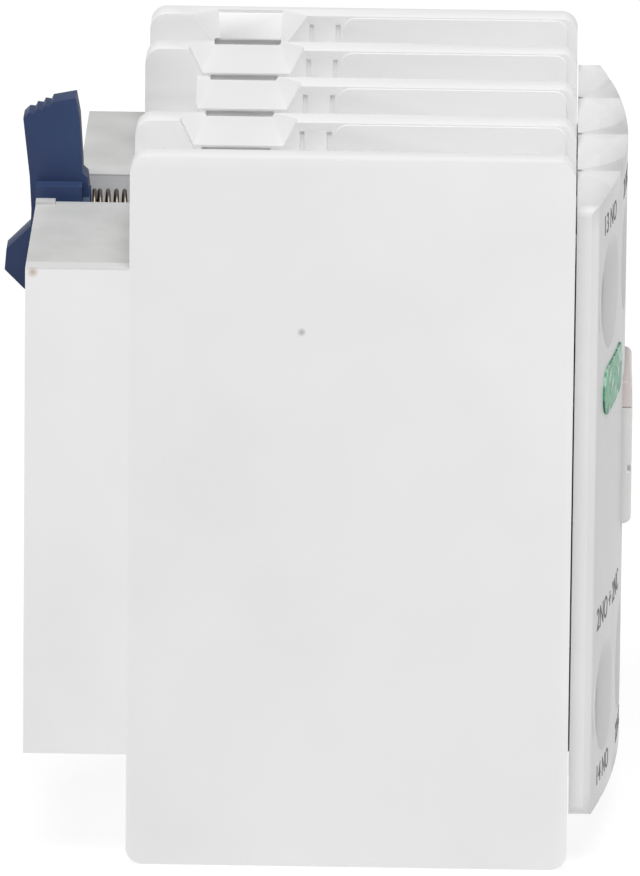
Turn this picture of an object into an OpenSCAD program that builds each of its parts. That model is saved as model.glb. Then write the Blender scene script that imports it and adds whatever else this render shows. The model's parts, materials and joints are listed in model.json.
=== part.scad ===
// Four-pole clip-on auxiliary contact block for a contactor.
// It has two normally open poles (1 and 4) and two normally closed poles (2 and 3).
// X runs across the poles, the front faces -Y, and Z is up. The origin is the middle of the
// bottom of its box. Modules are drawn with their local Y running from the rear seating face
// towards the front, and placed() turns that depth into the part's own Y.

/* [Body] */
// Width across the two side plates
body_w = 44; // [43:0.5:46]
// Height of the side plates and barriers
body_h = 48; // [47:0.5:50]
// Thickness of the side plates and of the barriers between poles
wall_t = 2.6; // [2.4:0.1:2.8]
// Depth of the rear boxes that seat on the contactor
box_d = 6.8; // [6.4:0.1:7]
// Height of the rear boxes
box_h = 33; // [32:0.5:34]
// Depth of the side plates in front of the rear boxes
plate_d = 29.1; // [28.9:0.1:31]
// Rounding of the corners of the plates and barriers
corner_r = 1.1; // [0.6:0.1:1.6]
// Half width of the channel between the rear boxes
channel_half = 3.9; // [3.8:0.05:4.1]

/* [Front cover] */
// Width of the front cover
cover_w = 41.2; // [40.6:0.1:42]
// Height of the front cover
cover_h = 41.4; // [41:0.1:42]
// Height of the cover's front above its side edges
crown = 2; // [1.6:0.05:2.4]
// Thickness of the cover at its side edges
cover_edge = 1.35; // [1:0.05:1.4]
// Radius of the driver holes
well_r = 3.4; // [3.35:0.05:3.45]

/* [Terminals] */
// Height of the screws above and below the middle
screw_off = 13.8; // [13.6:0.1:14]
// Radius of the screw's shank over its thread
screw_r = 1.75; // [1.7:0.05:1.8]
// Radial clearance of the screw in its clamp and terminal
screw_fit = 0.05; // [0.03:0.01:0.08]
// Wire space between the terminal and the open clamp
wire_gap = 5.2; // [5:0.1:5.4]
// Travel of the clamp from open to tight
clamp_travel = 2.7; // [2.4:0.1:2.8]

/* [Contacts] */
// Travel of the contact carrier
carrier_travel = 3.5; // [3.2:0.1:3.6]
// Gap of the open contacts at rest
contact_gap = 2.5; // [2.3:0.05:2.55]
// Radius of the silver tips
tip_r = 1; // [0.8:0.05:1.1]

/* [Latch] */
// Height of the latch's pivot
latch_pivot_z = 29; // [28.8:0.1:29.5]
// Thickness of the latch lever
latch_t = 2.4; // [2.2:0.1:3]

/* [Hidden] */
$fn = 48;
pole_pitch = (body_w - wall_t) / 4;
mid_z = body_h / 2;
plate_front = box_d + plate_d;
seat_y = 18.85;
rear_wall_t = 1.5;
rear_wall_front = box_d + rear_wall_t;
chamber_half = (pole_pitch - wall_t) / 2;

// Floors between the plates, which the barriers stand proud of
floor_drop = 3.4;
floor_t = 1.8;
floor_front = plate_front - 1.2;
chamber_half_h = mid_z - floor_drop - floor_t;
// The chamber is lower behind the terminals, where the latch pocket is
step_half_h = 17.4;
step_d = 10.4;
pocket_d = 10.5;
pocket_half_h = 19.2;

// Wire funnels: a ramp on the right, between flat sides that open upwards
throat_d = [11.2, 15.7];
ramp_lip = 0.25;
ramp_run = 2;
ramp_fall = 1.75;
undercut = 0.2;
funnel_d = 13.6;
funnel_in = 3.12;
funnel_half = [2.1, 3.86];

// Grooves and raised pads on the barriers
groove_d = [17.8, 19.6];
pad_d = [20, 35.2];
pad_out = 0.12;

// Rear boxes and their closing plates
box_wall = 1.5;
box_lid_t = 1.2;
box_bottom = mid_z - box_h / 2;
box_half_w = (body_w / 2 - channel_half) / 2;
box_mid = channel_half + box_half_w;
notch_d = 2.6;
notch_z = 36;

// Front cover
cover_gap = 0.1;
cover_rear = plate_front + cover_gap;
crown_front = cover_rear + cover_edge + crown;
crown_r = (pow(cover_w / 2, 2) + crown * crown) / (2 * crown);
crown_axis = crown_front - crown_r;
cover_bottom = mid_z - cover_h / 2;
cover_skin = 1.5;
scoop_r = 7.6;
scoop_deep = 2.1;
window = [5.1, 5.2];

// Terminals
plate_t = 0.8;
term_front = step_d + plate_t;
clamp_rear = term_front + wire_gap;
clamp_t = 1.2;
head_r = 3;
head_t = 2.8;
shank_tip = 9.9;
arm_z = 6;
arm_w = 3.2;
tip_z = 4;
tip_t = 0.5;
rest_gap = 0.03;

// Contact carrier
bar_d = [15.6, 29.6];
bar_half_h = 2.6;
bar_half_w = 18.6;
slot_d = [17.2, 28];
slot_half_w = 2.25;
stem_half = [2.5, 2.2];
stem_rear = 1;
bridge_t = 0.7;
bridge_half = [1.6, 5.2];
over_travel = carrier_travel - contact_gap;
no_bridge = slot_d[0];
nc_bridge = slot_d[1] - over_travel - bridge_t;
button = [4.8, 4.9];
button_front = 39.9;
flag_low = mid_z + 3.1;
stem_front = 33;

// Latch
latch_pivot_d = 2.6;
pin_r = 0.9;
latch_spring_z = 38.95;
latch_back = 3.5;

side_names = ["top", "bottom"];

white = [0.93, 0.93, 0.93];
blue = [0.19, 0.25, 0.42];
brass = [0.78, 0.66, 0.38];
silver = [0.86, 0.86, 0.84];
steel = [0.62, 0.63, 0.65];

function pole_x(i) = (i - 2.5) * pole_pitch;
function barrier_x(i) = (i - 2) * pole_pitch;
function is_open_pole(i) = i == 1 || i == 4;
function bridge_rear(i) = is_open_pole(i) ? no_bridge : nc_bridge;
function box_inside(side) = [side * box_mid - box_half_w + box_wall, side * box_mid + box_half_w - box_wall];
// The lid of the notched box on the right is shorter
function lid_top(side) = (side > 0 ? notch_z : box_bottom + box_h) - box_wall;
// Depth of the cover's front face at a distance from the middle
function crown_at(x) = crown_axis + sqrt(crown_r * crown_r - x * x);
// Face of a pole's fixed tips that the bridge's tips meet
function fixed_face(i) = is_open_pole(i)
    ? no_bridge - tip_t - contact_gap - rest_gap
    : nc_bridge + bridge_t + tip_t + rest_gap;

// Turns depth from the seating face into the part's Y
module placed() {
    translate([0, seat_y, 0]) mirror([0, 1, 0]) children();
}

// A box given by its limits along X, depth and Z
module block(x, d, z) {
    translate([x[0], d[0], z[0]]) cube([x[1] - x[0], d[1] - d[0], z[1] - z[0]]);
}

// Extrudes a depth and Z outline along X
module along_x(x0, x1) {
    translate([x0, 0, 0]) rotate([90, 0, 90]) linear_extrude(x1 - x0) children();
}

// Extrudes an X and Z outline along the depth
module along_d(d0, d1) {
    translate([0, d1, 0]) rotate([90, 0, 0]) linear_extrude(d1 - d0) children();
}

// A cylinder along the depth
module rod(x, z, d0, d1, r) {
    translate([x, d0, z]) rotate([-90, 0, 0]) cylinder(h = d1 - d0, r = r);
}

module rounded_rect(x, y, r) {
    translate([x[0] + r, y[0]]) square([x[1] - x[0] - 2 * r, y[1] - y[0]]);
    translate([x[0], y[0] + r]) square([x[1] - x[0], y[1] - y[0] - 2 * r]);
    for (cx = [x[0] + r, x[1] - r], cy = [y[0] + r, y[1] - r]) translate([cx, cy]) circle(r = r);
}

// Draws something and its mirror image about the middle height
module both_ends() {
    children();
    translate([0, 0, body_h]) mirror([0, 0, 1]) children();
}

// Draws the top one as it is and mirrors it for the bottom
module at_end(side) {
    if (side == "top") children();
    else translate([0, 0, body_h]) mirror([0, 0, 1]) children();
}

// A coil along the depth, from d0 to d1, as a wire of hexagonal section swept round a helix
module coil(x, z, d0, d1, r, wire, turns) {
    sides = 6;
    steps = turns * 12;
    centre = r - wire / 2;
    rise = (d1 - d0 - wire) / steps;
    points = [
        for (k = [0:steps], s = [0:sides - 1])
            let (turn = 30 * k, round = 360 * s / sides, out = centre + wire / 2 * cos(round))
                [out * cos(turn), out * sin(turn), wire / 2 * (1 + sin(round)) + k * rise]
    ];
    walls = [
        for (k = [0:steps - 1], s = [0:sides - 1])
            let (a = k * sides + s, b = k * sides + (s + 1) % sides)
                [a, b, b + sides, a + sides]
    ];
    first = [for (s = [sides - 1:-1:0]) s];
    last = [for (s = [0:sides - 1]) steps * sides + s];
    translate([x, d0, z]) rotate([-90, 0, 0]) polyhedron(points, concat(walls, [first, last]));
}

// ---------------------------------------------------------------- housing
module side_outline(rear) {
    rounded_rect([rear, plate_front], [0, body_h], corner_r);
}

module barriers() {
    for (i = [0:4])
        along_x(barrier_x(i) - wall_t / 2, barrier_x(i) + wall_t / 2) side_outline(box_d);
}

module floors() {
    both_ends() block([-body_w / 2 + 1, body_w / 2 - 1], [box_d, floor_front],
        [floor_drop, floor_drop + floor_t]);
    both_ends() block([-body_w / 2 + 1, body_w / 2 - 1], [box_d, step_d],
        [floor_drop + floor_t - 0.1, mid_z - step_half_h]);
    block([-body_w / 2 + 1, body_w / 2 - 1], [box_d, rear_wall_front],
        [floor_drop, body_h - floor_drop]);
}

module rear_boxes() {
    for (side = [-1, 1]) difference() {
        block([side * box_mid - box_half_w, side * box_mid + box_half_w], [0, box_d + 0.1],
            [box_bottom, box_bottom + box_h]);
        block(box_inside(side), [-1, box_d + 1], [box_bottom + box_wall, lid_top(side)]);
        if (side > 0) {
            // The right box is notched at its upper rear corner
            block([channel_half - 1, body_w], [-1, notch_d], [notch_z, body_h]);
            block(box_inside(side), [notch_d + box_wall, box_d + 1],
                [notch_z - box_wall - 1, box_bottom + box_h - box_wall]);
        }
    }
    // Small lug on the left box, beside the channel
    block([-channel_half - 1, -channel_half], [0, 1.3], [box_bottom + box_h - 0.1, box_bottom + box_h + 0.22]);
}

// Raised pads on the pole's right-hand wall, in front of the wire funnel
module pads() {
    both_ends() for (i = [1:4])
        along_x(barrier_x(i) - wall_t / 2 - pad_out, barrier_x(i))
            rounded_rect(pad_d, [0.12, floor_drop + 1.2], 0.8);
}

// Pair of narrow grooves between the funnel and the pad
module grooves(x) {
    for (d = groove_d)
        block([x - wall_t / 2 - 1, x - wall_t / 2 + 0.15], [d - 0.15, d + 0.15],
            [body_h - floor_drop, body_h - 0.6]);
}

module funnel_sides() {
    along_x(-2 * funnel_in, 2 * funnel_in) polygon([
        [-funnel_half[0], 0], [funnel_half[0], 0],
        [funnel_half[1], floor_drop], [-funnel_half[1], floor_drop]
    ]);
}

// The ramp stops short of the outer face of the right-hand plate
module funnel(x) {
    far = x + wall_t / 2;
    outermost = x > 1.5 * pole_pitch;
    edge = outermost ? far - 1 : far;
    rim = edge + (outermost ? 0.05 : 1);
    intersection() {
        translate([edge - funnel_in, funnel_d, body_h - floor_drop]) intersection() {
            funnel_sides();
            rotate([0, 0, 45]) funnel_sides();
            rotate([0, 0, -45]) funnel_sides();
        }
        along_d(0, plate_front) polygon([
            [rim, body_h],
            [rim, body_h - ramp_lip],
            [edge, body_h - ramp_lip],
            [far - ramp_run, body_h - ramp_fall],
            [far - ramp_run, body_h - floor_drop],
            [far - pole_pitch, body_h - floor_drop],
            [far - pole_pitch, body_h]
        ]);
    }
}

// The throat runs on a little under the ramp's lower edge
module throat(x) {
    right = x + wall_t / 2 - ramp_run;
    bottom = body_h - floor_drop - floor_t - 0.5;
    block([right - pole_pitch + wall_t, right], throat_d, [bottom, body_h - ramp_fall]);
    block([right - 1, right + undercut], throat_d, [bottom, body_h - ramp_fall - 0.15]);
}

module chambers() {
    for (i = [1:4]) {
        x = pole_x(i);
        block([x - chamber_half, x + chamber_half], [rear_wall_front, step_d + 0.1],
            [mid_z - step_half_h, mid_z + step_half_h]);
        block([x - chamber_half, x + chamber_half], [step_d, plate_front + 1],
            [mid_z - chamber_half_h, mid_z + chamber_half_h]);
        for (s = [-1, 1]) rod(x, mid_z + s * screw_off, box_d - 0.5, step_d + 1, screw_r + 0.35);
    }
}

module housing() color(white) placed() difference() {
    union() {
        barriers();
        floors();
        rear_boxes();
        pads();
    }
    chambers();
    both_ends() for (i = [1:4]) {
        funnel(barrier_x(i));
        throat(barrier_x(i));
        grooves(barrier_x(i));
    }
    // Latch pocket across the two middle poles
    block([barrier_x(1) + wall_t / 2, barrier_x(3) - wall_t / 2], [box_d - 1, pocket_d],
        [mid_z + pocket_half_h, body_h + 1]);
    // Slots that the carrier runs in
    block([-bar_half_w, bar_half_w], [bar_d[0] - carrier_travel - 0.5, bar_d[1] + 0.5],
        [mid_z - bar_half_h - 0.4, mid_z + bar_half_h + 0.4]);
    block([-stem_half[0] - 0.4, stem_half[0] + 0.4], [box_d - 1, bar_d[0] + 1],
        [mid_z - stem_half[1] - 0.4, mid_z + stem_half[1] + 0.4]);
    block([-window[0] - 0.3, window[0] + 0.3], [bar_d[1] - 0.6, plate_front + 1],
        [mid_z - window[1] - 0.5, mid_z + window[1] + 0.5]);
    for (side = [-1, 1]) {
        rod(side * 1.5 * pole_pitch, mid_z, box_d - 1, rear_wall_front + 1, 2.5);
    }
    translate([-body_w, latch_pivot_d, latch_pivot_z]) rotate([0, 90, 0])
        translate([0, 0, body_w - 5.2]) cylinder(h = 10.4, r = pin_r);
    // Seat of the latch spring
    rod(0, latch_spring_z, box_d - 1, box_d + 0.4, 1.9);
}

module rear_cover(side) color(white) placed() {
    gap = 0.04;
    inside = box_inside(side);
    block([inside[0] + gap, inside[1] - gap], [0, box_lid_t],
        [box_bottom + box_wall + gap, lid_top(side) - gap]);
    rod(side * 1.5 * pole_pitch, mid_z, box_lid_t, box_lid_t + 1.6, 1.3);
}

module rear_cover_left() { rear_cover(-1); }
module rear_cover_right() { rear_cover(1); }

// ---------------------------------------------------------------- front cover
module crown_shape(shrink) {
    translate([0, crown_axis, -1]) cylinder(h = body_h + 2, r = crown_r - shrink, $fn = 160);
}

module cover_blank() {
    side = cover_w / 2;
    shoulder = cover_rear + cover_edge;
    intersection() {
        crown_shape(0);
        along_d(cover_rear, crown_front + 1)
            rounded_rect([-side, side], [cover_bottom, cover_bottom + cover_h], 0.7);
        // The side edges are eased before the crown begins
        linear_extrude(body_h) polygon([
            [-side, cover_rear], [-side, shoulder - 0.4], [0.45 - side, shoulder + 0.09],
            [0.45 - side, crown_front + 1], [side - 0.45, crown_front + 1],
            [side - 0.45, shoulder + 0.09], [side, shoulder - 0.4], [side, cover_rear]
        ]);
    }
}

// Each scoop is deepest at the rear and fades out at the cover's front face
module scoop(x) {
    tilt = atan(scoop_deep / (crown_at(x) - cover_rear));
    translate([x, cover_rear, cover_bottom + cover_h - scoop_deep + scoop_r / cos(tilt)])
        rotate([tilt - 90, 0, 0]) translate([0, 0, -10]) cylinder(h = 24, r = scoop_r);
}

module well_cut(x) {
    rod(x, mid_z + screw_off, cover_rear - 4, crown_front + 1, well_r);
    translate([x, crown_at(x) - 0.5, mid_z + screw_off]) rotate([-90, 0, 0])
        cylinder(h = 1.6, r1 = well_r - 0.1, r2 = well_r + 1.5);
}

module front_cover() color(white) placed() difference() {
    union() {
        difference() {
            cover_blank();
            intersection() {
                crown_shape(cover_skin);
                block([-18.4, 18.4], [0, crown_front], [cover_bottom + 4, cover_bottom + cover_h - 4]);
            }
        }
        both_ends() for (i = [1:4])
            rod(pole_x(i), mid_z + screw_off, cover_rear, cover_rear + 1.6, well_r + 0.9);
        for (s = [-1, 1], t = [-1, 1])
            block([s * 18.7 - 0.5, s * 18.7 + 0.5], [cover_rear - 5, cover_rear + 0.6],
                [mid_z + t * 8 - 1.5, mid_z + t * 8 + 1.5]);
    }
    both_ends() for (i = [1:4]) {
        scoop(pole_x(i));
        well_cut(pole_x(i));
    }
    block([-window[0], window[0]], [cover_rear - 1, crown_front + 1],
        [mid_z - window[1], mid_z + window[1]]);
}

module driver_guides() color(white) placed() both_ends() for (i = [1:4]) difference() {
    rod(pole_x(i), mid_z + screw_off, clamp_rear + clamp_t + head_t + 2, cover_rear, chamber_half - 0.05);
    rod(pole_x(i), mid_z + screw_off, 0, crown_front, well_r);
}

module badge() color([0.24, 0.66, 0.42]) placed() intersection() {
    difference() {
        crown_shape(-0.12);
        crown_shape(0);
    }
    along_d(cover_rear, crown_front + 1) rounded_rect([-17.8, -8.4], [mid_z + 5.7, mid_z + 8.9], 1.5);
}

// ---------------------------------------------------------------- contact carrier
module contact_carrier() color([0.86, 0.85, 0.82]) placed() {
    difference() {
        block([-bar_half_w, bar_half_w], bar_d, [mid_z - bar_half_h, mid_z + bar_half_h]);
        for (i = [1:4])
            block([pole_x(i) - slot_half_w, pole_x(i) + slot_half_w], slot_d,
                [mid_z - bar_half_h - 1, mid_z + bar_half_h + 1]);
    }
    block([-stem_half[0], stem_half[0]], [stem_rear, bar_d[0]],
        [mid_z - stem_half[1], mid_z + stem_half[1]]);
    block([-3, 3], [bar_d[1], stem_front], [mid_z - 2.5, mid_z + 2.5]);
    // Drive tab that the contactor's armature holds
    block([-stem_half[0], stem_half[0]], [stem_rear, stem_rear + 1.4], [mid_z - 3.6, mid_z + 2.4]);
}

module button_blank(front) {
    along_x(-button[0], button[0])
        rounded_rect([stem_front, front], [mid_z - button[1], mid_z + button[1]], 0.5);
}

// Corner of the button that the coloured flag fills
module flag_space(gap) {
    block([-button[0] - 1, button[0] + 1], [button_front - 2 + gap, button_front + 1],
        [flag_low + gap, mid_z + button[1] + 1]);
}

module indicator_button() color(white) placed() difference() {
    button_blank(button_front);
    flag_space(0);
    block([-button[0] - 1, button[0] + 1], [button_front - 0.3, button_front + 1],
        [mid_z - 1.3, mid_z - 0.9]);
}

module indicator_flag() color([0.85, 0.62, 0.6]) placed() intersection() {
    button_blank(button_front - 0.05);
    flag_space(0.02);
}

// ---------------------------------------------------------------- latch
// The lever hangs on its pin, with the hook below and the thumb tab above
module latch_outline() {
    polygon([
        [2.5, 46.94], [0.95, 46.64], [0.8, 46.34], [0.42, 46.4], [0.27, 46.1], [-0.1, 46.15],
        [-0.25, 45.84], [-0.62, 45.87], [-1, 45.5], [-0.55, 41.5], [-0.43, 39.3], [-0.47, 38.1],
        [-2.09, 36.5], [-2.2, 35.1], [-0.9, 33.8], [0.3, 33.2], [0.8, 30], [0.8, 28.6],
        [4.4, 28.6], [4.4, 31], [3.4, 34], [3.2, 38.4], [latch_back, 38.6],
        [latch_back, 39.7], [3.3, 41.5], [2.98, 41.8], [2.96, 42.4], [2.77, 45.5]
    ]);
    translate([latch_pivot_d, latch_pivot_z]) circle(r = 1.85);
}

module latch_lever() color(blue) placed() difference() {
    union() {
        along_x(-latch_t / 2, latch_t / 2) latch_outline();
        // Broad shoulder that the spring pushes on
        block([-2.6, 2.6], [-0.1, 3], [38.2, 41.2]);
        rod(0, latch_spring_z, 2.9, latch_back, 1.7);
    }
    translate([-5, latch_pivot_d, latch_pivot_z]) rotate([0, 90, 0]) cylinder(h = 10, r = pin_r + 0.05);
}

module latch_pin() color(steel) placed()
    translate([-5.2, latch_pivot_d, latch_pivot_z]) rotate([0, 90, 0]) cylinder(h = 10.4, r = pin_r);

module latch_spring() color(steel) placed()
    coil(0, latch_spring_z, latch_back, box_d + 0.4, 1.5, 0.35, 5);

module return_spring(side) color(steel) placed()
    coil(side * 1.5 * pole_pitch, mid_z, box_lid_t, bar_d[0], 1.9, 0.4, 10);

module return_spring_left() { return_spring(-1); }
module return_spring_right() { return_spring(1); }

// ---------------------------------------------------------------- contacts
module bridge(i) color(brass) placed()
    block([pole_x(i) - bridge_half[0], pole_x(i) + bridge_half[0]],
        [bridge_rear(i), bridge_rear(i) + bridge_t],
        [mid_z - bridge_half[1], mid_z + bridge_half[1]]);

module bridge_tips(i) color(silver) placed() for (s = [-1, 1]) {
    d = is_open_pole(i) ? bridge_rear(i) - tip_t : bridge_rear(i) + bridge_t;
    rod(pole_x(i), mid_z + s * tip_z, d, d + tip_t, tip_r);
}

// The spring presses the bridge rearwards in an open pole and forwards in a closed one
module contact_spring(i) color(steel) placed() {
    span = is_open_pole(i) ? [bridge_rear(i) + bridge_t, slot_d[1]] : [slot_d[0], bridge_rear(i)];
    coil(pole_x(i), mid_z, span[0], span[1], 1.5, 0.35, 6);
}

module fixed_tips(side) color(silver) placed() at_end(side) for (i = [1:4]) {
    d = is_open_pole(i) ? fixed_face(i) - tip_t : fixed_face(i);
    rod(pole_x(i), mid_z + tip_z, d, d + tip_t, tip_r);
}

module fixed_tips_top() { fixed_tips("top"); }
module fixed_tips_bottom() { fixed_tips("bottom"); }

// Screw plate, arm and contact leg, bent from one strip
module terminal(side, i) color(brass) placed() at_end(side) difference() {
    x = pole_x(i);
    leg = is_open_pole(i) ? fixed_face(i) - tip_t - plate_t : fixed_face(i) + tip_t;
    union() {
        block([x - chamber_half, x + chamber_half], [step_d, term_front],
            [mid_z + arm_z, mid_z + chamber_half_h]);
        block([x - arm_w / 2, x + arm_w / 2], [step_d, leg + plate_t],
            [mid_z + arm_z, mid_z + arm_z + plate_t]);
        block([x - arm_w / 2, x + arm_w / 2], [leg, leg + plate_t],
            [mid_z + tip_z - tip_r - 0.1, mid_z + arm_z + plate_t]);
    }
    rod(x, mid_z + screw_off, 0, plate_front, screw_r + screw_fit);
}

// Saddle washer with a turned-down lip at each side
module clamp(side, i) color(steel) placed() at_end(side) difference() {
    x = pole_x(i);
    half_w = chamber_half - 0.3;
    union() {
        block([x - half_w, x + half_w], [clamp_rear, clamp_rear + clamp_t],
            [mid_z + screw_off - 3.9, mid_z + screw_off + 3.9]);
        for (s = [-1, 1])
            block([x + s * (half_w - 0.3) - 0.3, x + s * (half_w - 0.3) + 0.3],
                [clamp_rear - 0.5, clamp_rear + 0.1],
                [mid_z + screw_off - 2.4, mid_z + screw_off + 2.4]);
    }
    rod(x, mid_z + screw_off, 0, plate_front, screw_r + screw_fit);
}

module screw(side, i) color(steel) placed() at_end(side) {
    x = pole_x(i);
    z = mid_z + screw_off;
    seat = clamp_rear + clamp_t;
    difference() {
        union() {
            rod(x, z, shank_tip, seat + 0.1, screw_r);
            rod(x, z, seat, seat + head_t - 0.4, head_r);
            translate([x, seat + head_t - 0.4, z]) rotate([-90, 0, 0])
                cylinder(h = 0.4, r1 = head_r, r2 = head_r - 0.4);
        }
        block([x - head_r - 1, x + head_r + 1], [seat + head_t - 1.1, seat + head_t + 1],
            [z - 0.45, z + 0.45]);
        block([x - 0.45, x + 0.45], [seat + head_t - 1.4, seat + head_t + 1], [z - 1.9, z + 1.9]);
    }
}

housing();
rear_cover_left();
rear_cover_right();
front_cover();
driver_guides();
badge();
contact_carrier();
indicator_button();
indicator_flag();
latch_lever();
latch_pin();
latch_spring();
return_spring_left();
return_spring_right();
fixed_tips_top();
fixed_tips_bottom();
for (i = [1:4]) {
    bridge(i);
    bridge_tips(i);
    contact_spring(i);
}
for (side = side_names, i = [1:4]) {
    terminal(side, i);
    clamp(side, i);
    screw(side, i);
}
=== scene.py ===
"""Auxiliary contact block: materials, detailed pieces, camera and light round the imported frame."""

import json
import math

import bmesh
import bpy
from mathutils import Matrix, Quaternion, Vector
from mathutils.bvhtree import BVHTree


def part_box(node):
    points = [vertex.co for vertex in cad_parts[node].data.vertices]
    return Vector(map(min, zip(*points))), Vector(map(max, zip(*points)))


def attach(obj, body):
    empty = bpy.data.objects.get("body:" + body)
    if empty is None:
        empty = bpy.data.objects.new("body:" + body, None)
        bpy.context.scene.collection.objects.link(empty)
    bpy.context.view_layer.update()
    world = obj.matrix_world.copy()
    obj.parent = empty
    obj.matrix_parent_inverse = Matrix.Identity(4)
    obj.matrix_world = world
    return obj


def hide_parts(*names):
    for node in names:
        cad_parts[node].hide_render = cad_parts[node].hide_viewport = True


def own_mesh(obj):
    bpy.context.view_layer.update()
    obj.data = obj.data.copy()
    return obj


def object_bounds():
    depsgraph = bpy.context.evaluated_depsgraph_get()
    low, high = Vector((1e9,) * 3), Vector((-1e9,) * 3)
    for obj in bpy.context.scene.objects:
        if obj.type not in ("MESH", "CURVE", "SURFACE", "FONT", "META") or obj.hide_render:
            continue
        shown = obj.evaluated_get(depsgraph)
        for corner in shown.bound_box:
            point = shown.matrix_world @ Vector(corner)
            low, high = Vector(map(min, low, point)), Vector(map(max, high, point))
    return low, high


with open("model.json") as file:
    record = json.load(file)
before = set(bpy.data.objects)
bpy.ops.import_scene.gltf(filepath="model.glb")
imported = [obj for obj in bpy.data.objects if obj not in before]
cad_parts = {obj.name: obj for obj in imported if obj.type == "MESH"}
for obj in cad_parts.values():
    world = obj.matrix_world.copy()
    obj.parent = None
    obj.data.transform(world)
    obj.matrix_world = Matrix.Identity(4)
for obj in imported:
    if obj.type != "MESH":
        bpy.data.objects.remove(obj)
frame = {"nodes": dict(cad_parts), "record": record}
CAD_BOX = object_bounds()

# ------------------------------------------------------------------ places, from the frame

MM = 0.001
HOUSING_LOW, HOUSING_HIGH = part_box("housing")
LEFT_X, RIGHT_X = HOUSING_LOW.x, HOUSING_HIGH.x
TOP_Z = HOUSING_HIGH.z
SEAT_Y = HOUSING_HIGH.y
MID_Z = (HOUSING_LOW.z + TOP_Z) / 2
COVER_TOP_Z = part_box("front_cover")[1].z
POLES = (1, 2, 3, 4)
SIDES = ("top", "bottom")


def at_depth(d):
    """The Y of a depth, in millimetres from the rear seating face towards the front."""
    return SEAT_Y - d * MM


def middle(name):
    """The middle of a CAD node's box."""
    low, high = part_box(name)
    return (low + high) / 2


POLE_PITCH = middle("screw_top_2").x - middle("screw_top_1").x

# ------------------------------------------------------------------ camera

CAMERA_AZIMUTH = -88.938
CAMERA_ELEVATION = 14.8165
CAMERA_ROLL = 0.5645
CAMERA_DISTANCE = 0.92415
CAMERA_LENS = 565.73
CAMERA_SHIFT = (0.01668, -0.00949)
AIM_DEPTH = 18.0


def from_direction(azimuth, elevation):
    """The unit vector towards a camera or light at these angles, in degrees."""
    a, e = math.radians(azimuth), math.radians(elevation)
    return Vector((math.sin(a) * math.cos(e), -math.cos(a) * math.cos(e), math.sin(e)))


def make_camera():
    data = bpy.data.cameras.new("camera")
    cam = bpy.data.objects.new("camera", data)
    bpy.context.scene.collection.objects.link(cam)
    back = from_direction(CAMERA_AZIMUTH, CAMERA_ELEVATION)
    roll = Quaternion((0, 0, 1), math.radians(CAMERA_ROLL))
    cam.rotation_mode = "QUATERNION"
    cam.rotation_quaternion = (-back).to_track_quat("-Z", "Y") @ roll
    cam.location = Vector((0, at_depth(AIM_DEPTH), MID_Z)) + back * CAMERA_DISTANCE
    data.lens = CAMERA_LENS
    data.sensor_width = 36.0
    data.shift_x, data.shift_y = CAMERA_SHIFT
    data.clip_start, data.clip_end = 0.01, 20.0
    bpy.context.scene.camera = cam


make_camera()

# ------------------------------------------------------------------ material nodes


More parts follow.
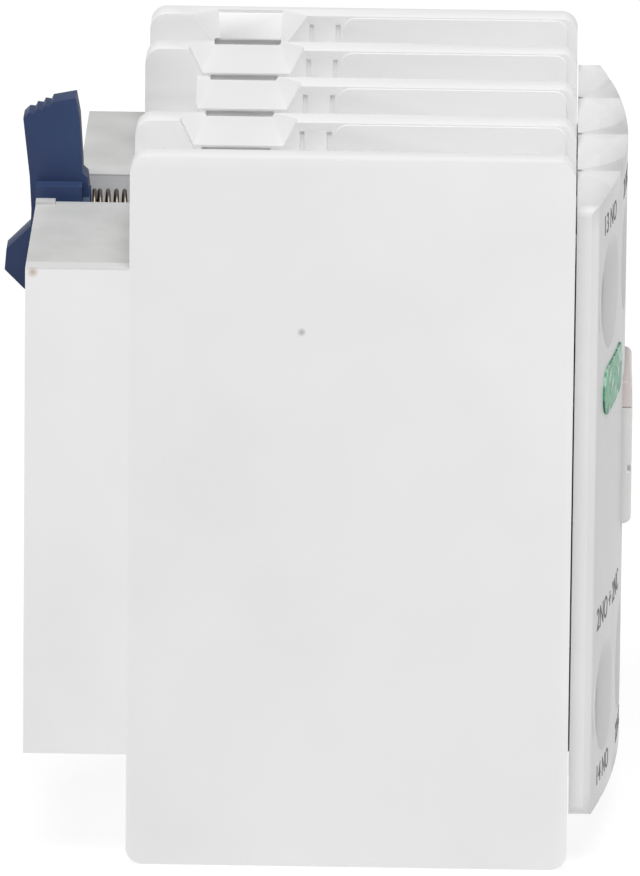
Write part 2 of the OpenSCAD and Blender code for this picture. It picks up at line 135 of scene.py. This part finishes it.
class Nodes:
    """A new material's node tree, with its Principled shader ready."""

    def __init__(self, name):
        self.material = bpy.data.materials.new(name)
        self.material.use_nodes = True
        self.tree = self.material.node_tree
        self.shader = self.tree.nodes["Principled BSDF"]
        self.coords = self.add("ShaderNodeTexCoord").outputs["Object"]

    def add(self, kind, **settings):
        node = self.tree.nodes.new(kind)
        for key, value in settings.items():
            setattr(node, key, value)
        return node

    def link(self, out, into):
        self.tree.links.new(out, into)

    def set(self, **values):
        """Sets the shader's own sockets: metallic=1 sets "Metallic", and so on."""
        for key, value in values.items():
            self.shader.inputs[key.replace("_", " ")].default_value = value

    def noise(self, size_mm, detail=3.0, stretch=(1, 1, 1)):
        """Noise whose features are about size_mm across, finer along the stretched axes."""
        scale = self.add("ShaderNodeVectorMath", operation="MULTIPLY")
        scale.inputs[1].default_value = [s / (size_mm * MM) for s in stretch]
        self.link(self.coords, scale.inputs[0])
        noise = self.add("ShaderNodeTexNoise")
        noise.inputs["Scale"].default_value = 1.0
        noise.inputs["Detail"].default_value = detail
        self.link(scale.outputs[0], noise.inputs["Vector"])
        return noise.outputs["Fac"]

    def ramp(self, value, stops):
        """A colour ramp through (position, colour or grey) stops."""
        ramp = self.add("ShaderNodeValToRGB")
        self.link(value, ramp.inputs["Fac"])
        elements = ramp.color_ramp.elements
        while len(elements) < len(stops):
            elements.new(0.5)
        for element, (at, colour) in zip(elements, stops):
            element.position = at
            single = isinstance(colour, (int, float))
            element.color = (colour, colour, colour, 1) if single else (*colour, 1)
        return ramp.outputs["Color"]

    def between(self, value, low, high, start=0.0, end=1.0):
        """value from start to end mapped to low to high, and held there outside them."""
        mapped = self.add("ShaderNodeMapRange")
        numbers = {"From Min": start, "From Max": end, "To Min": low, "To Max": high}
        for name, number in numbers.items():
            mapped.inputs[name].default_value = number
        self.link(value, mapped.inputs["Value"])
        return mapped.outputs["Result"]

    def math(self, operation, a, b):
        """A sum, a product and so on of two values, each a socket or a number."""
        node = self.add("ShaderNodeMath", operation=operation)
        for value, socket in ((a, node.inputs[0]), (b, node.inputs[1])):
            if isinstance(value, (int, float)):
                socket.default_value = value
            else:
                self.link(value, socket)
        return node.outputs[0]

    def mix(self, amount, a, b):
        """Colour a where amount is 0, and b where it is 1."""
        node = self.add("ShaderNodeMix", data_type="RGBA")
        self.link(amount, node.inputs["Factor"])
        for value, socket in ((a, node.inputs["A"]), (b, node.inputs["B"])):
            if isinstance(value, tuple):
                socket.default_value = (*value, 1)
            else:
                self.link(value, socket)
        return node.outputs["Result"]

    def bump(self, height, distance_mm, strength=1.0):
        bump = self.add("ShaderNodeBump")
        bump.inputs["Distance"].default_value = distance_mm * MM
        bump.inputs["Strength"].default_value = strength
        self.link(height, bump.inputs["Height"])
        self.link(bump.outputs["Normal"], self.shader.inputs["Normal"])

    def spot(self, place, radius_mm):
        """1 at a place on the object, fading to 0 at this radius round it."""
        away = self.add("ShaderNodeVectorMath", operation="DISTANCE")
        away.inputs[1].default_value = place
        self.link(self.coords, away.inputs[0])
        return self.between(away.outputs["Value"], 1.0, 0.0, 0.0, radius_mm * MM)

    def axis(self, vector, axis):
        """One axis of a vector socket: "X", "Y" or "Z"."""
        split = self.add("ShaderNodeSeparateXYZ")
        self.link(vector, split.inputs[0])
        return split.outputs[axis]

    def above(self, axis, start, soft_mm):
        """0 up to start along an axis of the object, in metres, then rising to 1 over soft_mm."""
        place = self.axis(self.coords, axis)
        return self.between(place, 0.0, 1.0, start, start + soft_mm * MM)

    def below(self, axis, start, soft_mm):
        """The opposite of above."""
        return self.math("SUBTRACT", 1.0, self.above(axis, start, soft_mm))


# ------------------------------------------------------------------ materials


def moulded_plastic(
    name, dark, light, rough=(0.38, 0.5), grain_mm=0.12, grain_depth=0.006, marks=(), tint=None
):
    """Moulded plastic: slow drifts of tone, a spark-eroded grain and slightly uneven gloss.
    marks are (place, radius in millimetres, colour) of small gate marks, dark spots and painted shadows
    in corners.
    tint takes the nodes and the colour so far, and returns the colour to use."""
    n = Nodes(name)
    colour = n.ramp(n.noise(9, 2), [(0.3, dark), (0.7, light)])
    if tint:
        colour = tint(n, colour)
    for place, radius, shade in marks:
        colour = n.mix(n.spot(place, radius), colour, shade)
    n.link(colour, n.shader.inputs["Base Color"])
    n.link(n.between(n.noise(1.5, 4), *rough), n.shader.inputs["Roughness"])
    waviness = n.math("MULTIPLY", n.noise(3, 2), 0.6)
    n.bump(n.math("ADD", n.noise(grain_mm, 2), waviness), grain_depth)
    n.set(IOR=1.5, Specular_IOR_Level=0.2)
    return n.material


def rolled_metal(name, dark, light, rough, stretch=(1, 1, 6)):
    """Rolled or drawn metal: fine lines along the roll, faint stains and small scratches."""
    n = Nodes(name)
    lines = n.noise(0.5, 4, stretch)
    stains = n.noise(2.5, 3)
    tone = n.math("ADD", n.math("MULTIPLY", lines, 0.5), n.math("MULTIPLY", stains, 0.5))
    n.link(n.ramp(tone, [(0.35, dark), (0.65, light)]), n.shader.inputs["Base Color"])
    n.link(n.between(lines, *rough), n.shader.inputs["Roughness"])
    n.bump(lines, 0.01, 0.6)
    n.set(Metallic=1.0)
    return n.material


def grey(value):
    return (value, value, value)


# Places where the painted light and shade on the whites change, with depths in millimetres
SHARP = 0.1
RIM_Z = TOP_Z - 3.4 * MM
RAMP_Z = TOP_Z - 2.2 * MM
RAMP_DEPTHS = (9.6, 17.6)
RIGHT_PLATE_X = RIGHT_X - 2.4 * MM
BOX_TOP_Z = 40.36 * MM
BOX_FRONT_DEPTH = 6.82
BOX_TOP_EDGE_X = LEFT_X + 1.5 * MM
COVER_STRIP_DEPTH = 37.5
COVER_END_DEPTH = 38.6
COVER_TOP_SCOOPS_Z = 43 * MM
COVER_BOTTOM_SCOOPS_Z = 3.5 * MM


def painted_light_and_shade_on_whites(n, colour):
    """Painted light and shade: the upper rims are painted lighter than the rest, as if lit more from
    above, and the boxes' tops and the ramps are painted darker, as shade.
    """
    # Painted light: the rims' top faces lighter than the rest, kept off the left face
    off_left_face = n.above("X", LEFT_X + 0.25 * MM, 0.3)
    rims = n.math("MULTIPLY", n.above("Z", RIM_Z, 0.8), off_left_face)
    colour = n.mix(rims, colour, grey(0.88))

    # Painted shade: the boxes' tops darker in mottled tones, less dark along the left edge as a painted
    # highlight on its rounded edge
    box_top_shade_mask = n.math(
        "MULTIPLY", n.above("Z", BOX_TOP_Z, SHARP), n.above("Y", at_depth(BOX_FRONT_DEPTH), 0.06)
    )
    painted_box_shade = n.ramp(n.noise(4, 3), [(0.3, (0.52, 0.52, 0.515)), (0.7, (0.60, 0.60, 0.595))])
    painted_box_shade_edged = n.mix(n.above("X", BOX_TOP_EDGE_X, 0.25), (0.655, 0.655, 0.65), painted_box_shade)
    colour = n.mix(box_top_shade_mask, colour, painted_box_shade_edged)

    # Painted shade: the ramps, found by their left-leaning normals, darker
    rear, front = (n.above("Y", at_depth(d), SHARP) for d in RAMP_DEPTHS)
    along_ramps = n.math("SUBTRACT", front, rear)
    along_ramps = n.math("SUBTRACT", along_ramps, n.above("X", RIGHT_PLATE_X, SHARP))
    normal = n.add("ShaderNodeNewGeometry").outputs["True Normal"]
    lean = n.math("MULTIPLY", n.axis(normal, "X"), n.axis(normal, "Z"))
    leaning_left = n.between(lean, 0.0, 1.0, -0.3, -0.42)
    ramps = n.math("MULTIPLY", along_ramps, leaning_left)
    ramps = n.math("MULTIPLY", ramps, n.above("Z", RAMP_Z, SHARP))
    return n.mix(ramps, colour, grey(0.73))


def painted_shade_on_front(n, colour):
    """Painted shade: the cover's crowned front is painted darker than its side edges, as shade on faces
    turned from the light. At the scoops, painted shade goes from dark to light across each pole."""
    # Painted shade: masks for the darker crowned front and for the scoops at its ends
    front = n.below("Y", at_depth(COVER_STRIP_DEPTH), SHARP)
    forward = n.below("Y", at_depth(COVER_END_DEPTH), 2.6)
    upper = n.above("Z", COVER_TOP_SCOOPS_Z, 1.5)
    lower = n.below("Z", COVER_BOTTOM_SCOOPS_Z, 1.5)
    ends = n.math("ADD", upper, lower)
    poles = n.math("ADD", n.math("DIVIDE", n.axis(n.coords, "X"), POLE_PITCH), float(len(POLES)))
    painted_scoop_shade = n.ramp(n.math("FRACT", poles, 0.0), [(0.12, grey(0.57)), (0.85, grey(0.74))])
    front_shade_mask = n.math("MULTIPLY", front, n.math("SUBTRACT", 1.0, ends))
    colour = n.mix(front_shade_mask, colour, grey(0.69))
    return n.mix(n.math("MULTIPLY", forward, ends), colour, painted_scoop_shade)


def worn_print(n, colour):
    """The green bar is blotchy, with the white showing through it in places."""
    thin = n.between(n.noise(1.1, 3), 0.0, 0.85, 0.53, 0.62)
    dark = n.between(n.noise(0.9, 2), 1.0, 0.0, 0.38, 0.47)
    colour = n.mix(dark, colour, (0.02, 0.15, 0.075))
    return n.mix(thin, colour, (0.42, 0.66, 0.52))


# A gate mark on the left plate, and a brownish dark spot on the left box's top corner
HOUSING_MARKS = (
    ((LEFT_X, at_depth(18.1), 36.4 * MM), 0.32, (0.42, 0.41, 0.40)),
    ((LEFT_X, at_depth(0.5), 40.2 * MM), 0.42, (0.50, 0.42, 0.33)),
)
# Painted shadow: dark spots where the cover's ridges meet the three inner barriers, for the shaded gaps
# there
COVER_PAINTED_SHADOWS = tuple(
    ((k * POLE_PITCH, at_depth(36.02), COVER_TOP_Z - 0.08 * MM), 0.42, grey(0.03))
    for k in (-1, 0, 1)
)

# The stretch of a metal's noise where it has no direction
EVEN = (1, 1, 1)

MATERIALS = {
    "housing_plastic": moulded_plastic(
        "housing_plastic", (0.795, 0.795, 0.797), grey(0.825), marks=HOUSING_MARKS, tint=painted_light_and_shade_on_whites
    ),
    "cover_plastic": moulded_plastic(
        "cover_plastic", grey(0.775), grey(0.805), rough=(0.34, 0.45), marks=COVER_PAINTED_SHADOWS,
        tint=painted_shade_on_front,
    ),
    "button_plastic": moulded_plastic(
        "button_plastic", (0.80, 0.80, 0.79), (0.84, 0.84, 0.83), rough=(0.3, 0.4)
    ),
    "carrier_plastic": moulded_plastic(
        "carrier_plastic", (0.50, 0.47, 0.41), (0.60, 0.57, 0.51), grain_mm=0.3
    ),
    "flag_plastic": moulded_plastic(
        "flag_plastic", (0.72, 0.65, 0.64), (0.78, 0.71, 0.70), rough=(0.25, 0.35)
    ),
    "blue_plastic": moulded_plastic(
        "blue_plastic", (0.026, 0.044, 0.110), (0.040, 0.068, 0.160), rough=(0.36, 0.5),
        grain_mm=0.2, grain_depth=0.01,
    ),
    "green_print": moulded_plastic(
        "green_print", (0.035, 0.27, 0.13), (0.09, 0.40, 0.22), rough=(0.3, 0.4), grain_mm=0.3,
        tint=worn_print,
    ),
    "terminal_brass": rolled_metal(
        "terminal_brass", (0.55, 0.44, 0.24), (0.68, 0.58, 0.36), (0.22, 0.4)
    ),
    "contact_silver": rolled_metal(
        "contact_silver", (0.70, 0.69, 0.66), (0.84, 0.83, 0.81), (0.18, 0.3), EVEN
    ),
    "plated_steel": rolled_metal(
        "plated_steel", (0.42, 0.42, 0.43), (0.60, 0.60, 0.61), (0.25, 0.42), EVEN
    ),
    "spring_steel": rolled_metal(
        "spring_steel", (0.15, 0.125, 0.10), (0.28, 0.24, 0.20), (0.3, 0.45), EVEN
    ),
}
INK = moulded_plastic(
    "ink", (0.085, 0.085, 0.09), (0.14, 0.14, 0.145), rough=(0.45, 0.6), grain_mm=0.08
)


def finish(obj, slot):
    """Gives a piece the finish of one of the record's material slots."""
    obj.data.materials.clear()
    obj.data.materials.append(MATERIALS[slot])


# ------------------------------------------------------------------ carried-over CAD nodes

# Radius of the moulded or broken edges, in millimetres
EDGE_ROUND = {
    "housing_plastic": 0.22,
    "cover_plastic": 0.24,
    "button_plastic": 0.12,
    "carrier_plastic": 0.15,
    "flag_plastic": 0.1,
    "blue_plastic": 0.14,
    "terminal_brass": 0.08,
    "contact_silver": 0.12,
    "plated_steel": 0.08,
}
# Triangles whose normals differ by less become one face, and sharper corners are rounded
FLAT_DEGREES = 0.6
CORNER_DEGREES = 38
WELD_MM = 0.002


def soften_edges(obj, radius_mm):
    """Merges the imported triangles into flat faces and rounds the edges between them."""
    for face in obj.data.polygons:
        face.use_smooth = True
    weld = obj.modifiers.new("weld", "WELD")
    weld.merge_threshold = WELD_MM * MM
    flat = obj.modifiers.new("flat", "DECIMATE")
    flat.decimate_type = "DISSOLVE"
    flat.angle_limit = math.radians(FLAT_DEGREES)
    bevel = obj.modifiers.new("bevel", "BEVEL")
    bevel.width = radius_mm * MM
    bevel.segments = 3
    bevel.limit_method = "ANGLE"
    bevel.angle_limit = math.radians(CORNER_DEGREES)
    bevel.use_clamp_overlap = True
    bevel.harden_normals = True


def finish_cad_nodes():
    for entry in frame["record"]["subparts"]:
        obj = frame["nodes"][entry["node"]]
        slot = entry["material_slot"]
        finish(obj, slot)
        if slot in EDGE_ROUND:
            soften_edges(obj, EDGE_ROUND[slot])


finish_cad_nodes()

# ------------------------------------------------------------------ mesh helpers


def new_piece(name, mesh, slot, body, *nodes):
    """A piece from a finished mesh, riding on a body in place of CAD nodes."""
    obj = bpy.data.objects.new(name, mesh)
    bpy.context.scene.collection.objects.link(obj)
    for face in mesh.polygons:
        face.use_smooth = True
    finish(obj, slot)
    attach(obj, body)
    if nodes:
        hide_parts(*nodes)
    return obj


def skin(name, rings):
    """A closed mesh over rings of points that all have the same number of points."""
    count = len(rings[0])
    faces = []
    for k in range(len(rings) - 1):
        here, beyond = k * count, (k + 1) * count
        for j in range(count):
            beside = (j + 1) % count
            faces.append((here + j, here + beside, beyond + beside, beyond + j))
    last = (len(rings) - 1) * count
    faces += [tuple(range(count))[::-1], tuple(range(last, last + count))]
    mesh = bpy.data.meshes.new(name)
    mesh.from_pydata([p for ring in rings for p in ring], [], faces)
    bm = bmesh.new()
    bm.from_mesh(mesh)
    bmesh.ops.recalc_face_normals(bm, faces=bm.faces)
    bm.to_mesh(mesh)
    bm.free()
    return mesh


# ------------------------------------------------------------------ springs

SPRING_SIDES = 10
SPRING_STEPS = 28


def spring_mesh(name, x, z, start, end, radius, wire, turns):
    """A compression spring along the depth, with one closed turn at each end. All lengths are in
    millimetres, and the radius is over the wire."""
    centre = radius - wire / 2
    open_turns = turns - 2
    open_pitch = (end - start - 3 * wire) / open_turns
    along = Vector((0, -1, 0))
    rings = []
    for k in range(turns * SPRING_STEPS + 1):
        t = k / SPRING_STEPS
        closed_turns = min(t, 1) + max(0, t - turns + 1)
        opened = min(max(t - 1, 0), open_turns)
        depth = start + wire / 2 + wire * closed_turns + open_pitch * opened
        outward = Vector((math.cos(math.tau * t), 0, math.sin(math.tau * t)))
        on_helix = Vector((x, 0, z)) + outward * centre
        ring = []
        for j in range(SPRING_SIDES):
            a = math.tau * j / SPRING_SIDES
            p = on_helix + (outward * math.cos(a) + along * math.sin(a)) * (wire / 2)
            ring.append((p.x * MM, at_depth(depth) + p.y * MM, p.z * MM))
        rings.append(ring)
    return skin(name, rings)


def make_spring(node, body, joint, anchor_at_end, keep, radius, wire, turns):
    """Replaces a CAD spring. One on a joint gets a copy of the mesh of its own."""
    low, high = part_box(node)
    x, z = middle(node).x / MM, middle(node).z / MM
    start, end = (SEAT_Y - high.y) / MM, (SEAT_Y - low.y) / MM
    mesh = spring_mesh(node, x, z, start, end, radius, wire, turns)
    spring = new_piece(node + "_wire", mesh, "spring_steel", body, node)
    if joint:
        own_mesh(spring)


# Radius, wire and turns of each kind of spring, and the part of its length that it keeps
RETURN_SPRING = {"radius": 1.9, "wire": 0.4, "turns": 10, "keep": 0.757}
LATCH_SPRING = {"radius": 1.5, "wire": 0.3, "turns": 7, "keep": 0.5}
CONTACT_SPRING = {"radius": 1.5, "wire": 0.35, "turns": 7, "keep": 0.9}
OPEN_AT_REST = (1, 4)


def make_springs():
    for side in ("left", "right"):
        make_spring(f"return_spring_{side}", "body", "carrier_press", False, **RETURN_SPRING)
    make_spring("latch_spring", "body", "latch_tilt", True, **LATCH_SPRING)
    for pole in POLES:
        joint = f"bridge_float_{pole}" if pole in OPEN_AT_REST else None
        make_spring(f"contact_spring_{pole}", "carrier", joint, True, **CONTACT_SPRING)


make_springs()

# ------------------------------------------------------------------ terminal screws

# Pan head from its flat top: (distance from the top, radius)
SCREW_HEAD = (
    (0.0, 1.9), (0.0, 2.3), (0.06, 2.62), (0.2, 2.86), (0.42, 2.98), (0.7, 3.0), (2.5, 3.0), (2.74, 2.9)
)
SCREW_SEAT = 2.8
SCREW_LENGTH = 10.5
SCREW_SIDES = 36
THREAD_PITCH = 0.6
THREAD_RINGS_PER_PITCH = 8
THREAD_ROOT, THREAD_CREST = 1.36, 1.74
TIP_CHAMFER = 0.7
TIP_NARROWING = 0.3
# Half width, half height and depth of the slot and of the stroke that crosses it
SCREW_SLOTS = ((3.5, 0.45, 1.1), (0.45, 1.9, 1.4))
SLOT_FLOOR = 0.82
# Every screw is turned differently, in degrees
TURN_PER_POLE = 37
TURN_OF_BOTTOM = 19


def circle(radius, y, angles):
    """Points round the screw's axis at a distance y from its top, in millimetres, as metres."""
    return [(radius * MM * math.cos(a), y * MM, radius * MM * math.sin(a)) for a in angles]


def thread_radius(y, a):
    """The thread's radius at a distance from the head's top and an angle, in millimetres."""
    tip = min(1.0, (SCREW_LENGTH - y) / TIP_CHAMFER)
    wave = abs(((y / THREAD_PITCH - a / math.tau) % 1.0) * 2 - 1)
    crest = min(1.0, 1.5 * wave) * tip
    return THREAD_ROOT - TIP_NARROWING * (1 - tip) + (THREAD_CREST - THREAD_ROOT) * crest


def screw_blank():
    """Pan head and rolled thread as one skin, head at Y 0 and tip towards +Y."""
    angles = [math.tau * j / SCREW_SIDES for j in range(SCREW_SIDES)]
    rings = [circle(r, y, angles) for y, r in SCREW_HEAD]
    steps = round((SCREW_LENGTH - SCREW_SEAT) / THREAD_PITCH * THREAD_RINGS_PER_PITCH)
    for k in range(steps + 1):
        y = SCREW_SEAT + (SCREW_LENGTH - SCREW_SEAT) * k / steps
        ring = []
        for a in angles:
            ring += circle(thread_radius(y, a), y, [a])
        rings.append(ring)
    return skin("screw", rings)


def slot_cutter(half_x, half_z, deep):
    """A block from above the head down to this depth, narrower at its floor."""
    bm = bmesh.new()
    bmesh.ops.create_cube(bm, size=1)
    for v in bm.verts:
        on_floor = v.co.y > 0
        narrow = SLOT_FLOOR if on_floor else 1.0
        y = deep if on_floor else -1
        v.co = Vector((v.co.x * 2 * half_x * narrow, y, v.co.z * 2 * half_z * narrow)) * MM
    mesh = bpy.data.meshes.new("slot")
    bm.to_mesh(mesh)
    bm.free()
    cutter = bpy.data.objects.new("slot", mesh)
    bpy.context.scene.collection.objects.link(cutter)
    return cutter


def final_mesh(obj):
    """A new mesh of an object as it looks with its modifiers, or of a text as a mesh."""
    bpy.context.view_layer.update()
    depsgraph = bpy.context.evaluated_depsgraph_get()
    return bpy.data.meshes.new_from_object(obj.evaluated_get(depsgraph))


def screw_mesh():
    """The blank with the combined slot and cross cut into its head."""
    blank = bpy.data.objects.new("screw_blank", screw_blank())
    bpy.context.scene.collection.objects.link(blank)
    cutters = [slot_cutter(*slot) for slot in SCREW_SLOTS]
    for cutter in cutters:
        cut = blank.modifiers.new("cut", "BOOLEAN")
        cut.operation = "DIFFERENCE"
        cut.solver = "EXACT"
        cut.object = cutter
    mesh = final_mesh(blank)
    for obj in (blank, *cutters):
        bpy.data.objects.remove(obj)
    return mesh


def placed_screw(mesh, node, degrees):
    """A copy of the screw's mesh where a CAD screw is, turned about its own axis."""
    low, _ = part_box(node)
    place = middle(node)
    cos, sin = math.cos(math.radians(degrees)), math.sin(math.radians(degrees))
    own = mesh.copy()
    for v in own.vertices:
        x, y, z = v.co
        v.co = (place.x + x * cos + z * sin, low.y + y, place.z - x * sin + z * cos)
    return own


def make_screws():
    mesh = screw_mesh()
    for side in SIDES:
        for pole in POLES:
            node = f"screw_{side}_{pole}"
            degrees = TURN_PER_POLE * pole + (0 if side == "top" else TURN_OF_BOTTOM)
            own = placed_screw(mesh, node, degrees)
            piece = new_piece(
                node + "_threaded", own, "plated_steel", f"screw_body_{side}_{pole}", node
            )
            edges = piece.modifiers.new("edges", "EDGE_SPLIT")
            edges.split_angle = math.radians(50)


make_screws()

# ------------------------------------------------------------------ printing on the front cover

# Thickness of the ink, a capital's height as a part of the font's size, and a depth in front
# of the cover to cast rays from
PRINT_PROUD = 0.02
CAP_HEIGHT = 0.7
RAY_DEPTH = 60


def cover_surface():
    """The finished cover as a tree to cast rays at, modifiers included."""
    depsgraph = bpy.context.evaluated_depsgraph_get()
    return BVHTree.FromObject(frame["nodes"]["front_cover"], depsgraph)


def print_on_cover(name, text, x, z, height, surface):
    """Generic lettering laid on the crowned cover, centred on x and z. All are in millimetres."""
    curve = bpy.data.curves.new(name, "FONT")
    curve.body = text
    curve.size = height * MM / CAP_HEIGHT
    curve.align_x, curve.align_y = "CENTER", "CENTER"
    curve.extrude = 0.5 * PRINT_PROUD * MM
    curve.resolution_u = 3
    writer = bpy.data.objects.new(name, curve)
    bpy.context.scene.collection.objects.link(writer)
    mesh = final_mesh(writer)
    bpy.data.objects.remove(writer)
    for v in mesh.vertices:
        at_x, at_z = x * MM + v.co.x, z * MM + v.co.y
        hit, *_ = surface.ray_cast(Vector((at_x, at_depth(RAY_DEPTH), at_z)), Vector((0, 1, 0)))
        v.co = (at_x, hit.y - v.co.z - 0.5 * PRINT_PROUD * MM, at_z)
    obj = new_piece(name, mesh, "cover_plastic", "body")
    obj.data.materials.clear()
    obj.data.materials.append(INK)
    for face in obj.data.polygons:
        face.use_smooth = False


TERMINAL_MARKS = {
    1: ("13 NO", "14 NO"),
    2: ("21 NC", "22 NC"),
    3: ("31 NC", "32 NC"),
    4: ("43 NO", "44 NO"),
}
MARK_HEIGHT = 1.35
TOP_MARK_Z, BOTTOM_MARK_Z = 42.75, 5.25
COUNT_X, COUNT_Z, COUNT_HEIGHT = -13.2, 16.1, 1.5


def print_cover():
    surface = cover_surface()
    for pole, (upper, lower) in TERMINAL_MARKS.items():
        x = middle(f"screw_top_{pole}").x / MM
        print_on_cover(f"mark_top_{pole}", upper, x, TOP_MARK_Z, MARK_HEIGHT, surface)
        print_on_cover(f"mark_bottom_{pole}", lower, x, BOTTOM_MARK_Z, MARK_HEIGHT, surface)
    print_on_cover("contact_count", "2NO + 2NC", COUNT_X, COUNT_Z, COUNT_HEIGHT, surface)


print_cover()

# ------------------------------------------------------------------ floor and light

FLOOR_SIZE = 8.0
FLOOR_GAP = 0.05
FLOOR_GLOW = 0.84
WORLD_GREY = 0.35


def make_floor():
    bpy.ops.mesh.primitive_plane_add(size=FLOOR_SIZE, location=(0, 0, CAD_BOX[0].z - FLOOR_GAP * MM))
    floor = bpy.context.object
    floor.name = "floor"
    n = Nodes("floor")
    tone = n.ramp(n.noise(40, 2), [(0.3, 0.17), (0.7, 0.19)])
    n.link(tone, n.shader.inputs["Base Color"])
    n.set(Roughness=0.9, Specular_IOR_Level=0.1)
    n.set(Emission_Color=(1, 1, 1, 1), Emission_Strength=FLOOR_GLOW)
    floor.data.materials.append(n.material)


def make_world(level):
    world = bpy.data.worlds.new("studio")
    bpy.context.scene.world = world
    world.use_nodes = True
    world.node_tree.nodes["Background"].inputs["Color"].default_value = (*grey(level), 1)


def make_sun(name, azimuth, elevation, energy, angle):
    """A soft sun that shines from the given azimuth, measured as the camera's is."""
    data = bpy.data.lights.new(name, "SUN")
    data.energy = energy
    data.angle = math.radians(angle)
    sun = bpy.data.objects.new(name, data)
    bpy.context.scene.collection.objects.link(sun)
    sun.rotation_mode = "QUATERNION"
    sun.rotation_quaternion = (-from_direction(azimuth, elevation)).to_track_quat("-Z", "Y")


make_floor()
make_world(WORLD_GREY)
make_sun("key", azimuth=-94, elevation=67, energy=2.4, angle=40)
bpy.context.scene.view_settings.view_transform = "Standard"
